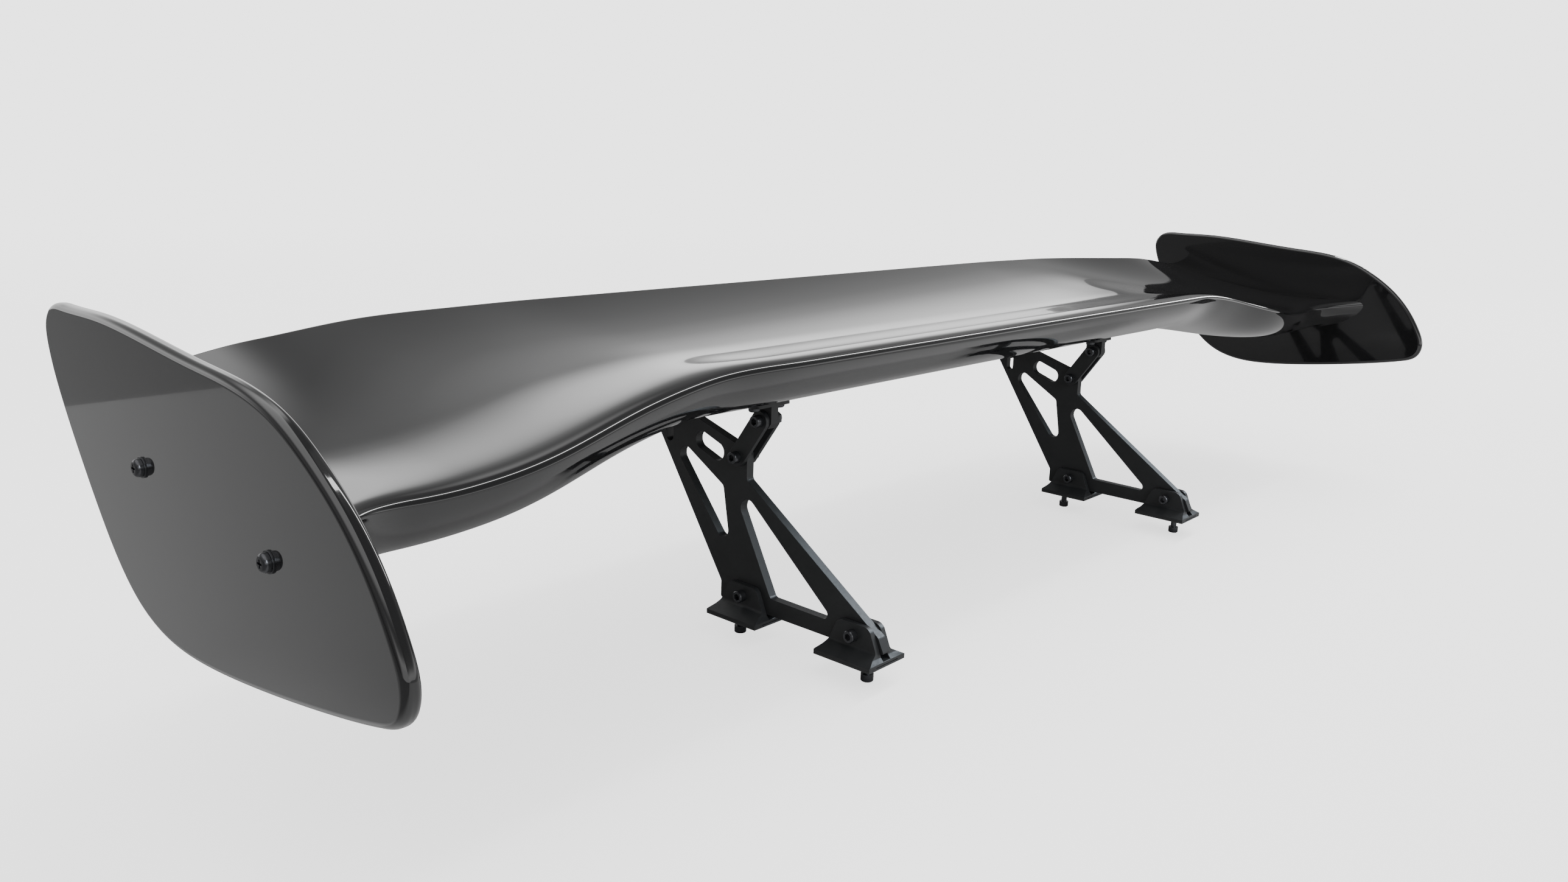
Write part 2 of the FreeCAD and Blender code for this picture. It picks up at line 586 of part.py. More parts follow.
def foot_profile():
    """The foot's section across the span: two ears, a slot between them and flared flanges."""
    flange_top = PAD_THICKNESS + 2.2
    flare_top = 12.4
    crown = 40.0
    flare = Part.Arc(Vector(10.8, 0, 9.5), Vector(9.4, 0, 10.7), Vector(FOOT_EAR_OUTSIDE, 0, flare_top))
    right = [
        Part.makeLine(Vector(0, 0, PAD_THICKNESS), Vector(FOOT_HALF_WIDTH, 0, PAD_THICKNESS)),
        Part.makeLine(Vector(FOOT_HALF_WIDTH, 0, PAD_THICKNESS), Vector(FOOT_HALF_WIDTH, 0, flange_top)),
        Part.makeLine(Vector(FOOT_HALF_WIDTH, 0, flange_top), Vector(10.8, 0, 9.5)),
        flare.toShape(),
        Part.makeLine(Vector(FOOT_EAR_OUTSIDE, 0, flare_top), Vector(FOOT_EAR_OUTSIDE, 0, crown)),
        Part.makeLine(Vector(FOOT_EAR_OUTSIDE, 0, crown), Vector(FOOT_SLOT_HALF, 0, crown)),
        Part.makeLine(Vector(FOOT_SLOT_HALF, 0, crown), Vector(FOOT_SLOT_HALF, 0, FOOT_FLOOR_Z)),
        Part.makeLine(Vector(FOOT_SLOT_HALF, 0, FOOT_FLOOR_Z), Vector(0, 0, FOOT_FLOOR_Z)),
    ]
    mirrored = [edge.mirror(Vector(), ALONG_X) for edge in right]
    return Part.Face(Part.Wire(Part.__sortEdges__(right + mirrored)))


def make_foot(label, x, y_sign):
    middle = y_sign * FOOT_PLACE
    half = FOOT_LENGTH / 2
    body = foot_profile().extrude(Vector(0, FOOT_LENGTH, 0))
    body.translate(Vector(0, -half, 0))
    mirrored = [(-y, z, radius) for y, z, radius in reversed(EAR_CORNERS)]
    outline = rounded_polygon(EAR_CORNERS + tuple(mirrored))
    body = body.common(slab(outline, -FOOT_HALF_WIDTH - 1.0, FOOT_HALF_WIDTH + 1.0))
    channel_start = Vector(-13.0, -half - 1.0, PAD_THICKNESS - 1.0)
    channel = Part.makeBox(26.0, FOOT_LENGTH + 2.0, 1.0 + FOOT_RELIEF, channel_start)
    body = body.cut(channel)
    bolt_y = y_sign * (DECK_BOLT_PLACE - FOOT_PLACE)
    body = body.cut(cylinder(M6_THREAD_RADIUS + 0.05, 20.0, Vector(0, bolt_y, -5.0), ALONG_Z))
    body = body.cut(cylinder(M6_RUNNING_RADIUS, 40.0, Vector(-20.0, 0, FOOT_PIVOT_Z)))
    body.translate(Vector(x, middle, 0))

    pad = Part.makeBox(2 * FOOT_HALF_WIDTH, FOOT_LENGTH, PAD_THICKNESS, Vector(-FOOT_HALF_WIDTH, -half, 0))
    pad = pad.cut(cylinder(PAD_HOLE_RADIUS, 10.0, Vector(0, bolt_y, -5.0), ALONG_Z))
    pad.translate(Vector(x, middle, 0))

    seat = Vector(x, y_sign * DECK_BOLT_PLACE, DECK_BOLT_HEAD_Z)
    head = socket_head(seat, Vector(0, 0, -1))
    thread_z = PAD_THICKNESS + FOOT_RELIEF
    shank = cylinder(M6_RADIUS, thread_z - DECK_BOLT_HEAD_Z, seat, ALONG_Z)
    thread_start = Vector(x, y_sign * DECK_BOLT_PLACE, thread_z)
    thread = cylinder(M6_THREAD_RADIUS, FOOT_FLOOR_Z - thread_z, thread_start, ALONG_Z)
    save("foot_" + label, body)
    save("foot_pad_" + label, pad)
    save("deck_bolt_" + label, head.fuse([shank, thread]))


os.makedirs("parts", exist_ok=True)
skin_below = make_blade()
for side_name, side_sign in SIDES.items():
    make_end_plate(side_name, side_sign)
    make_brackets(side_name, side_sign, skin_below)
    make_links(side_name, side_sign)
    make_stand(side_name, side_sign)
    for foot_name, foot_sign in (("front", -1.0), ("rear", 1.0)):
        make_foot(foot_name + "_" + side_name, side_sign * STAND_PLACE, foot_sign)
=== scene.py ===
"""Looks for the racing rear wing: glossy skins and end plates, powder-coated stands, and soft studio light.

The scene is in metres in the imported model's frame: +X to the car's left, -Y to its front, +Z up.
The blade and the end plates are worked out in millimetres from the design's dimensions, then scaled.
"""
import json
import math
import bmesh
import bpy
import numpy as np
from mathutils import Matrix, Vector

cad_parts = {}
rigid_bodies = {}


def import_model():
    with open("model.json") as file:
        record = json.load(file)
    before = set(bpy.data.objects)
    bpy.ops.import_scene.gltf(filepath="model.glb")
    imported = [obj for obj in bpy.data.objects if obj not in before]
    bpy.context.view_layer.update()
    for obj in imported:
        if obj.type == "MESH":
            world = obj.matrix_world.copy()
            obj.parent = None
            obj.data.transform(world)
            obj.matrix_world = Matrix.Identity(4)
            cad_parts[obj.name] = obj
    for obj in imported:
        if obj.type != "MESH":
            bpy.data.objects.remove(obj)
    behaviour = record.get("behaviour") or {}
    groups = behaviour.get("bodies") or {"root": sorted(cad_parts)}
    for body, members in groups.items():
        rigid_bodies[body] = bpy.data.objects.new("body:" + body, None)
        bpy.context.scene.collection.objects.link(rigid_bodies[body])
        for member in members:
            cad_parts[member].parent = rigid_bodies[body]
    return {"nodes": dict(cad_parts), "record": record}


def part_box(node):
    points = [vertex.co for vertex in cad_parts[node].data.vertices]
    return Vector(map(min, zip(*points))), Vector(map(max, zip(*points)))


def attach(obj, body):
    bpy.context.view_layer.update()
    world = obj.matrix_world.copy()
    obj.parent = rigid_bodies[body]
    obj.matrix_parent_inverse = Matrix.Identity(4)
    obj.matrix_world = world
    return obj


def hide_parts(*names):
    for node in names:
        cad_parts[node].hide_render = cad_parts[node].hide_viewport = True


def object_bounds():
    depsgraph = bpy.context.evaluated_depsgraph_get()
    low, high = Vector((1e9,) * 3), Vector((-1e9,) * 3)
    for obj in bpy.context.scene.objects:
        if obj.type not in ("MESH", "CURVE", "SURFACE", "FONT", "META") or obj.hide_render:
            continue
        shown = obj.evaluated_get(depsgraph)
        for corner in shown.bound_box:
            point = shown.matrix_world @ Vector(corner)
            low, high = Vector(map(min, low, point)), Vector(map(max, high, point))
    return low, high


# an empty scene, without Blender's default objects
for leftover in list(bpy.data.objects):
    bpy.data.objects.remove(leftover)

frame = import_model()
cad_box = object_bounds()
NODES = frame["nodes"]
RECORD = frame["record"]
BODIES = RECORD["behaviour"]["bodies"]
BODY_OF = {node: body for body, members in BODIES.items() for node in members}
SLOT_OF = {entry["node"]: entry["material_slot"] for entry in RECORD["subparts"]}
MM = 0.001

# ---- blade, in millimetres as in the design ---------------------------------------------------------
HALF_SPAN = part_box("blade_upper_skin")[1].x / MM
NOSE_Y = -37.0
NOSE_Z = 225.0
TAIL_Y = 254.5
TAIL_Z = 243.0
# outboard of the flat middle the nose drops, the tail sweeps forward, and the nose runs forward again
DROOP_START = 330.0
DROOP_WIDTH = 330.0
DROOP_DEPTH = 35.0
NOSE_SWEEP_START = 430.0
NOSE_SWEEP_WIDTH = 170.0
NOSE_SWEEP = 17.0
NOSE_DIMPLE_PLACE = 395.0
NOSE_DIMPLE_WIDTH = 45.0
NOSE_DIMPLE = 4.5
TIP_NOSE_START = 640.0
TIP_NOSE_REACH = 47.0
TIP_NOSE_POWER = 2.2
TIP_LIFT_START = 600.0
TIP_LIFT = 9.5
TAIL_EASE_START = 318.0
TAIL_EASE_WIDTH = 180.0
TAIL_EASE = 9.0
TAIL_SWEEP = 82.0
TAIL_SWEEP_WIDTH = 280.0
TAIL_DROP = 10.3
TAIL_DROP_WIDTH = 130.0
CAMBER = 0.10
CAMBER_PLACE = 0.40
THICKNESS = 0.14
# the lower side is fuller behind its nose towards the drooped ends, and slims down again at the tips
BELLY_MIDDLE = 2.0
BELLY_OUTBOARD = 15.5
BELLY_START = 230.0
BELLY_WIDTH = 630.0
BELLY_FADE_START = 650.0
BELLY_FADE_WIDTH = 75.0
BELLY_FALL = 6
SKIN = 2.8
TAIL_THICKNESS = 2.8
CAVITY_FRONT = 0.025
CAVITY_REAR = 0.93
SPAN_STEPS = 420
CHORD_STEPS = 84
TINY = 1e-12


def ease(value):
    """Smooth step from 0 to 1 with no kink at either end."""
    t = np.clip(value, 0.0, 1.0)
    return t ** 3 * (10 - 15 * t + 6 * t * t)


def nose_and_tail(x):
    """Leading edge y, z and trailing edge y, z at spanwise places x."""
    out = np.abs(x)
    to_tip = np.maximum(0.0, (out - TIP_NOSE_START) / (HALF_SPAN - TIP_NOSE_START))
    to_lift = np.maximum(0.0, (out - TIP_LIFT_START) / (HALF_SPAN - TIP_LIFT_START))
    dimple = np.exp(-((out - NOSE_DIMPLE_PLACE) / NOSE_DIMPLE_WIDTH) ** 2)
    nose_y = NOSE_Y + NOSE_DIMPLE * dimple - TIP_NOSE_REACH * to_tip ** TIP_NOSE_POWER
    nose_y = nose_y - NOSE_SWEEP * ease((out - NOSE_SWEEP_START) / NOSE_SWEEP_WIDTH)
    nose_z = NOSE_Z - DROOP_DEPTH * ease((out - DROOP_START) / DROOP_WIDTH) + TIP_LIFT * to_lift ** 2
    tail_y = TAIL_Y - TAIL_EASE * ease((out - TAIL_EASE_START) / TAIL_EASE_WIDTH)
    tail_y = tail_y - TAIL_SWEEP * ease((out - NOSE_SWEEP_START) / TAIL_SWEEP_WIDTH)
    tail_z = TAIL_Z - TAIL_DROP * ease((out - TIP_LIFT_START) / TAIL_DROP_WIDTH)
    return nose_y, nose_z, tail_y, tail_z


def half_thickness(s):
    """Half thickness over chord of the classic four-figure aerofoil."""
    return 5 * THICKNESS * (0.2969 * np.sqrt(s) - 0.1260 * s - 0.3516 * s ** 2
                            + 0.2843 * s ** 3 - 0.1036 * s ** 4)


def camber_drop(s):
    """How far the mean line lies below the chord, over chord."""
    front = CAMBER / CAMBER_PLACE ** 2 * (2 * CAMBER_PLACE * s - s * s)
    rear = CAMBER / (1 - CAMBER_PLACE) ** 2 * (1 - 2 * CAMBER_PLACE + 2 * CAMBER_PLACE * s - s * s)
    return np.where(s < CAMBER_PLACE, front, rear)


def belly_depth(x, s):
    """Extra depth of the lower side, deepest just behind the nose and fuller towards the drooped ends."""
    out = np.abs(x)
    faded = ease((out - BELLY_FADE_START) / BELLY_FADE_WIDTH)
    outboard = ease((out - BELLY_START) / BELLY_WIDTH) * (1 - faded)
    deepest = 1 / (2 * BELLY_FALL + 1)
    shape = np.sqrt(np.maximum(s, 0.0) / deepest) * ((1 - s) / (1 - deepest)) ** BELLY_FALL
    return (BELLY_MIDDLE + BELLY_OUTBOARD * outboard) * shape


def chord_of(x):
    """Chord at spanwise places x."""
    nose_y, nose_z, tail_y, tail_z = nose_and_tail(x)
    return np.hypot(tail_y - nose_y, tail_z - nose_z)


def outer_height(x, s, side):
    """Distance from the mean line in millimetres, with the trailing edge rounded off."""
    chord = chord_of(x)
    height = half_thickness(s) * chord + TAIL_THICKNESS / 2 * s
    if side < 0:
        height = height + belly_depth(x, s)
    to_tail = np.clip((1 - s) * chord / (TAIL_THICKNESS / 2), 0.0, 1.0)
    return height * np.sqrt(1 - (1 - to_tail) ** 2)


def cavity_height(x, s, side):
    """Distance of the hollow's wall from the mean line in millimetres."""
    inside = np.clip((s - CAVITY_FRONT) / (CAVITY_REAR - CAVITY_FRONT), 0.0, 1.0)
    height = np.maximum(half_thickness(inside), 0.0) * (chord_of(x) - 2 * SKIN / THICKNESS)
    return height + belly_depth(x, inside) if side < 0 else height


def surface(xs, ss, side, height_of):
    """Grid of points in millimetres on one side of the blade's mean surface."""
    x, s = np.meshgrid(xs, ss, indexing="ij")
    nose_y, nose_z, tail_y, tail_z = nose_and_tail(x)
    chord = chord_of(x)
    along_y = (tail_y - nose_y) / chord
    along_z = (tail_z - nose_z) / chord
    up = side * height_of(x, s, side) - camber_drop(s) * chord
    return np.stack([x, nose_y + along_y * s * chord - along_z * up,
                     nose_z + along_z * s * chord + along_y * up], axis=-1)


def bunched(low, high, steps):
    """Places from low to high, bunched at both ends."""
    return low + (high - low) * (1 - np.cos(np.pi * np.arange(steps + 1) / steps)) / 2


def grid_normals(points, sign, before=None):
    """Normals of a grid by central differences; before is the row past the first chordwise one."""
    extended = points
    if before is not None:
        extended = np.concatenate([before[:, None], points], axis=1)
    along_span = np.gradient(points, axis=0)
    along_chord = np.gradient(extended, axis=1)
    if before is not None:
        along_chord = along_chord[:, 1:]
    normals = np.cross(along_span, along_chord) * sign
    return normals / np.maximum(np.linalg.norm(normals, axis=-1, keepdims=True), TINY)


def mesh_object(name, points, faces, loop_normals=None):
    """A mesh object from points in millimetres, with a given normal for each face corner."""
    mesh = bpy.data.meshes.new(name)
    mesh.from_pydata([tuple(p) for p in np.asarray(points) * MM], [], faces)
    mesh.update()
    if loop_normals is not None:
        mesh.polygons.foreach_set("use_smooth", [True] * len(mesh.polygons))
        mesh.normals_split_custom_set([tuple(n) for n in loop_normals])
    obj = bpy.data.objects.new(name, mesh)
    bpy.context.scene.collection.objects.link(obj)
    return obj


def make_skin(name, side):
    """One moulded skin as a closed shell: outer surface, inner surface, bond faces and ends."""
    xs = np.linspace(-HALF_SPAN, HALF_SPAN, SPAN_STEPS + 1)
    outer_s = bunched(0.0, 1.0, CHORD_STEPS)
    outer = surface(xs, outer_s, side, outer_height)
    inner = surface(xs, bunched(CAVITY_FRONT, CAVITY_REAR, CHORD_STEPS), side, cavity_height)
    around_nose = surface(xs, outer_s[1:2], -side, outer_height)[:, 0]
    outer_normals = grid_normals(outer, side, around_nose)
    inner_normals = grid_normals(inner, -side)
    count = CHORD_STEPS + 1
    points = np.concatenate([outer.reshape(-1, 3), inner.reshape(-1, 3)])
    normals = np.concatenate([outer_normals.reshape(-1, 3), inner_normals.reshape(-1, 3)])
    shift = outer.shape[0] * count
    faces = []
    loop_normals = []

    def quad(a, b, c, d, flat):
        corners = (a, b, c, d) if side > 0 else (d, c, b, a)
        faces.append(corners)
        if flat:
            edge_one = points[corners[1]] - points[corners[0]]
            edge_two = points[corners[3]] - points[corners[0]]
            normal = np.cross(edge_one, edge_two)
            normal = normal / max(np.linalg.norm(normal), TINY)
            loop_normals.extend([normal] * 4)
        else:
            loop_normals.extend(normals[list(corners)])

    for i in range(SPAN_STEPS):
        for j in range(CHORD_STEPS):
            a = i * count + j
            b = a + count
            quad(a, b, b + 1, a + 1, False)
            quad(shift + a, shift + a + 1, shift + b + 1, shift + b, False)
        a = i * count
        b = a + count
        quad(a, shift + a, shift + b, b, True)
        a = i * count + CHORD_STEPS
        b = a + count
        quad(a, b, shift + b, shift + a, True)
    last = SPAN_STEPS * count
    for j in range(CHORD_STEPS):
        quad(j, j + 1, shift + j + 1, shift + j, True)
        quad(last + j, shift + last + j, shift + last + j + 1, last + j + 1, True)
    return mesh_object(name, points, faces, loop_normals)


# ---- end plates -------------------------------------------------------------------------------------
PLATE_OUTLINE = (
    (-176.6, 156.0), (-171.8, 143.0), (-155.0, 135.1), (-123.8, 128.3), (-80.2, 120.6), (-31.9, 113.6),
    (14.5, 109.1), (55.5, 110.1), (89.8, 120.4), (116.6, 140.0), (137.7, 163.8), (159.0, 192.5),
    (178.8, 223.0), (190.0, 248.3), (190.6, 264.5), (182.0, 273.9), (161.2, 276.8), (115.8, 276.8),
    (57.8, 272.9), (-2.0, 267.3), (-52.0, 262.3), (-82.5, 254.0), (-107.1, 241.4), (-132.6, 223.5),
    (-154.6, 200.7), (-170.2, 176.5),
)
PLATE_EDGE_RADIUS = 4.0
OUTLINE_SLACK = 0.01
PLATE_STEPS = 14
EDGE_STEPS = 8


def closed_spline(points, steps):
    """Points and slopes along the smooth closed cubic through the given points."""
    points = np.array(points)
    count = len(points)
    gaps = np.linalg.norm(np.roll(points, -1, axis=0) - points, axis=1)
    system = np.zeros((count, count))
    right = np.zeros((count, 2))
    for i in range(count):
        before, after = gaps[i - 1], gaps[i]
        system[i, i - 1] += after
        system[i, i] += 2 * (before + after)
        system[i, (i + 1) % count] += before
        right[i] = 3 * (after * (points[i] - points[i - 1]) / before
                        + before * (points[(i + 1) % count] - points[i]) / after)
    slopes = np.linalg.solve(system, right)
    places, tangents = [], []
    for i in range(count):
        j = (i + 1) % count
        gap = gaps[i]
        for t in np.arange(steps) / steps:
            places.append((1 + 2 * t) * (1 - t) ** 2 * points[i] + t * (1 - t) ** 2 * gap * slopes[i]
                          + t * t * (3 - 2 * t) * points[j] + t * t * (t - 1) * gap * slopes[j])
            tangents.append(6 * t * (t - 1) * (points[i] - points[j]) / gap
                            + (1 - 4 * t + 3 * t * t) * slopes[i] + (3 * t * t - 2 * t) * slopes[j])
    tangents = np.array(tangents)
    return np.array(places), tangents / np.linalg.norm(tangents, axis=1, keepdims=True)


def make_end_plate(name):
    """Leaf-shaped plate with both rims rounded, a hair inside the design's outline."""
    low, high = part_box(name)
    x_low, x_high = low.x / MM, high.x / MM
    outline, tangents = closed_spline(PLATE_OUTLINE, PLATE_STEPS)
    outwards = np.stack([tangents[:, 1], -tangents[:, 0]], axis=1)
    profile = []
    for k in range(EDGE_STEPS + 1):
        turn = math.pi / 2 * k / EDGE_STEPS
        inset = PLATE_EDGE_RADIUS * (1 - math.sin(turn))
        x = x_low + PLATE_EDGE_RADIUS * (1 - math.cos(turn))
        profile.append((x, inset, -math.cos(turn), math.sin(turn)))
    for x, inset, normal_x, normal_out in reversed(profile[:]):
        profile.append((x_low + x_high - x, inset, -normal_x, normal_out))
    points, normals = [], []
    for x, inset, normal_x, normal_out in profile:
        ring = outline - outwards * (inset + OUTLINE_SLACK)
        points.extend([(x, y, z) for y, z in ring])
        normals.extend([(normal_x, normal_out * y, normal_out * z) for y, z in outwards])
    count = len(outline)
    faces, loop_normals = [], []
    for ring in range(len(profile) - 1):
        for i in range(count):
            j = (i + 1) % count
            corners = (ring * count + i, ring * count + j, (ring + 1) * count + j, (ring + 1) * count + i)
            faces.append(corners)
            loop_normals.extend([normals[c] for c in corners])
    last = (len(profile) - 1) * count
    faces.append(tuple(reversed(range(count))))
    loop_normals.extend([(-1.0, 0.0, 0.0)] * count)
    faces.append(tuple(last + i for i in range(count)))
    loop_normals.extend([(1.0, 0.0, 0.0)] * count)
    return mesh_object(name + "_shell", points, faces, loop_normals)


# ---- machined and cut pieces: the design's solid with its edges broken ------------------------------
WELD_DISTANCE = 2e-6
FLAT_ANGLE = math.radians(0.6)
SHARP_ANGLE = math.radians(40)


def break_edges(node, width_mm, segments):
    """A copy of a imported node's mesh whose sharp edges have a small radius."""
    mesh = NODES[node].data.copy()
    mesh.name = node + "_edged"
    work = bmesh.new()
    work.from_mesh(mesh)
    bmesh.ops.remove_doubles(work, verts=work.verts, dist=WELD_DISTANCE)
    bmesh.ops.dissolve_limit(work, angle_limit=FLAT_ANGLE, verts=work.verts, edges=work.edges)
    work.to_mesh(mesh)
    work.free()
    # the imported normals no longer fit, and the bevel makes its own
    if mesh.has_custom_normals:
        mesh.attributes.remove(mesh.attributes["custom_normal"])
    mesh.polygons.foreach_set("use_smooth", [True] * len(mesh.polygons))
    obj = bpy.data.objects.new(node + "_edged", mesh)
    bpy.context.scene.collection.objects.link(obj)
    bevel = obj.modifiers.new("broken edges", "BEVEL")
    bevel.width = width_mm * MM
    bevel.segments = segments
    bevel.limit_method = "ANGLE"
    bevel.angle_limit = SHARP_ANGLE
    bevel.harden_normals = True
    bevel.miter_outer = "MITER_ARC"
    return obj


# ---- materials --------------------------------------------------------------------------------------
NOISE_RANGE = (0.3, 0.7)


def new_material(name):
    """A node material, its nodes and links, and its Principled shader."""
    material = bpy.data.materials.new(name)
    material.use_nodes = True
    nodes = material.node_tree.nodes
    return material, nodes, material.node_tree.links, nodes["Principled BSDF"]


def noise(nodes, links, scale, detail=3.0, roughness=0.5):
    """Noise in object space; scale is features per metre."""
    place = nodes.new("ShaderNodeTexCoord")
    texture = nodes.new("ShaderNodeTexNoise")
    texture.inputs["Scale"].default_value = scale
    texture.inputs["Detail"].default_value = detail
    texture.inputs["Roughness"].default_value = roughness
    links.new(place.outputs["Object"], texture.inputs["Vector"])
    return texture.outputs["Fac"]


def spread(nodes, links, factor, low, high):
    """Map a noise factor, which lies around one half, onto low to high."""
    ranges = nodes.new("ShaderNodeMapRange")
    ranges.inputs["From Min"].default_value = NOISE_RANGE[0]
    ranges.inputs["From Max"].default_value = NOISE_RANGE[1]
    ranges.inputs["To Min"].default_value = low
    ranges.inputs["To Max"].default_value = high
    links.new(factor, ranges.inputs["Value"])
    return ranges.outputs["Result"]


def mix_colour(nodes, links, factor, first, second):
    """Blend of two colours by a factor; a colour is three levels or a socket."""
    mix = nodes.new("ShaderNodeMix")
    mix.data_type = "RGBA"
    links.new(factor, mix.inputs["Factor"])
    for end, colour in (("A", first), ("B", second)):
        if isinstance(colour, tuple):
            mix.inputs[end].default_value = (*colour, 1.0)
        else:
            links.new(colour, mix.inputs[end])
    return mix.outputs["Result"]


def bump(nodes, links, shader, height, depth_mm):
    """Fine relief of the given depth on a shader's surface."""
    node = nodes.new("ShaderNodeBump")
    node.inputs["Strength"].default_value = 1.0
    node.inputs["Distance"].default_value = depth_mm * MM
    links.new(height, node.inputs["Height"])
    links.new(node.outputs["Normal"], shader.inputs["Normal"])


def gloss_black():
    """Lacquered laminate: near-black, mirror smooth, with faint haze and orange peel."""
    material, nodes, links, shader = new_material("gloss_black_laminate")
    shader.inputs["IOR"].default_value = 1.46
    shader.inputs["Coat Weight"].default_value = 0.7
    shader.inputs["Coat Roughness"].default_value = 0.02
    clouds = noise(nodes, links, 9.0, 4.0)
    links.new(mix_colour(nodes, links, clouds, (0.0055, 0.0056, 0.0062), (0.010, 0.010, 0.0105)),
              shader.inputs["Base Color"])
    haze = noise(nodes, links, 26.0, 5.0)
    links.new(spread(nodes, links, haze, 0.035, 0.085), shader.inputs["Roughness"])
    bump(nodes, links, shader, noise(nodes, links, 260.0, 1.0), 0.004)
    return material


def powder_black():
    """Powder coat on cut plate: satin black with a fine pebbled skin."""
    material, nodes, links, shader = new_material("powder_coat_black")
    clouds = noise(nodes, links, 60.0, 5.0)
    links.new(mix_colour(nodes, links, clouds, (0.0115, 0.0120, 0.0124), (0.0180, 0.0186, 0.0192)),
              shader.inputs["Base Color"])
    shader.inputs["Specular IOR Level"].default_value = 0.33
    links.new(spread(nodes, links, noise(nodes, links, 500.0, 3.0), 0.34, 0.46), shader.inputs["Roughness"])
    bump(nodes, links, shader, noise(nodes, links, 1500.0, 2.0), 0.03)
    return material


def black_oxide():
    """Blackened steel fasteners, a little brighter than the coated plates."""
    material, nodes, links, shader = new_material("black_oxide_steel")
    shader.inputs["Metallic"].default_value = 0.85
    clouds = noise(nodes, links, 400.0, 4.0)
    links.new(mix_colour(nodes, links, clouds, (0.045, 0.046, 0.050), (0.090, 0.091, 0.096)),
              shader.inputs["Base Color"])
    links.new(spread(nodes, links, noise(nodes, links, 900.0, 3.0), 0.14, 0.26), shader.inputs["Roughness"])
    bump(nodes, links, shader, noise(nodes, links, 2500.0, 2.0), 0.008)
    return material


def pad_rubber():
    """Dull black rubber."""
    material, nodes, links, shader = new_material("pad_rubber")
    clouds = noise(nodes, links, 300.0, 5.0)
    links.new(mix_colour(nodes, links, clouds, (0.010, 0.010, 0.010), (0.022, 0.022, 0.022)),
              shader.inputs["Base Color"])
    links.new(spread(nodes, links, noise(nodes, links, 1200.0), 0.7, 0.9), shader.inputs["Roughness"])
    bump(nodes, links, shader, noise(nodes, links, 3000.0, 2.0), 0.03)
    return material


def plain_aluminium():
    """Turned aluminium, for the threaded bushes."""
    material, nodes, links, shader = new_material("turned_aluminium")
    shader.inputs["Metallic"].default_value = 1.0
    clouds = noise(nodes, links, 700.0, 4.0)
    links.new(mix_colour(nodes, links, clouds, (0.62, 0.62, 0.64), (0.78, 0.78, 0.80)),
              shader.inputs["Base Color"])
    links.new(spread(nodes, links, noise(nodes, links, 2000.0), 0.25, 0.4), shader.inputs["Roughness"])
    return material


def core_foam(name, dark, light):
    """Rigid foam or moulded filler with open cells."""
    material, nodes, links, shader = new_material(name)
    cells = noise(nodes, links, 900.0, 6.0, 0.7)
    links.new(mix_colour(nodes, links, cells, dark, light), shader.inputs["Base Color"])
    shader.inputs["Roughness"].default_value = 0.85
    bump(nodes, links, shader, cells, 0.2)
    return material


def dress(obj, material):
    """Give a piece one material."""
    obj.data.materials.clear()
    obj.data.materials.append(material)


# ---- the pieces -------------------------------------------------------------------------------------
GLOSS = gloss_black()
POWDER = powder_black()
OXIDE = black_oxide()
RUBBER = pad_rubber()
ALUMINIUM = plain_aluminium()
FOAM = core_foam("core_foam", (0.42, 0.36, 0.24), (0.62, 0.56, 0.42))
BLOCK = core_foam("moulded_block", (0.02, 0.02, 0.02), (0.05, 0.05, 0.05))

for skin, side in (("blade_upper_skin", 1), ("blade_lower_skin", -1)):
    piece = make_skin(skin + "_shell", side)
    dress(piece, GLOSS)
    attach(piece, "blade")
    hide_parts(skin)

for hand in ("left", "right"):
    plate = "end_plate_" + hand
    piece = make_end_plate(plate)
    dress(piece, GLOSS)
    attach(piece, "blade")
    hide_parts(plate)

# slots whose pieces have their edges broken: material, width in millimetres, steps around the edge
EDGED = {
    "stand": (POWDER, 0.6, 3),
    "foot": (POWDER, 0.5, 3),
    "link": (POWDER, 0.5, 3),
    "bracket": (POWDER, 0.5, 3),
    "pad": (RUBBER, 0.2, 2),
    "fastener": (OXIDE, 0.15, 2),
}
# slots inside the blade, whose pieces keep the design's shape
HIDDEN = {"rib": FOAM, "mount_block": BLOCK, "bush": ALUMINIUM}

for node, slot in SLOT_OF.items():
    if slot in EDGED:
        material, width, segments = EDGED[slot]
        piece = break_edges(node, width, segments)
        dress(piece, material)
        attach(piece, BODY_OF[node])
        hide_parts(node)
    elif slot in HIDDEN:
        dress(NODES[node], HIDDEN[slot])

# ---- studio: turns are angles from the car's rear towards its left ----------------------------------
FLOOR_GAP = 0.0005
FLOOR_Z = cad_box[0].z - FLOOR_GAP
FLOOR_REACH = 30.0
FLOOR_GREY = 0.86
FLOOR_ROUGHNESS = 0.7
FLOOR_LIFT = 1.6
FLOOR_FADE = (1.2, 5.0)
BACKDROP = 3.0
# what the gloss mirrors of the floor is painted: a darker floor than the camera sees, with a painted pool of
# light in front of the wing
MIRRORED_GREY = 0.22
POOL_LIGHT_BY = 0.40
PALER_REAR_EDGE = (0.0, 0.34)
PALER_RIGHT_EDGE = (-0.95, -0.78)
PALER_LEFT_EDGE = (0.35, 0.75)
PALER_LEFT_SHARE = 0.4
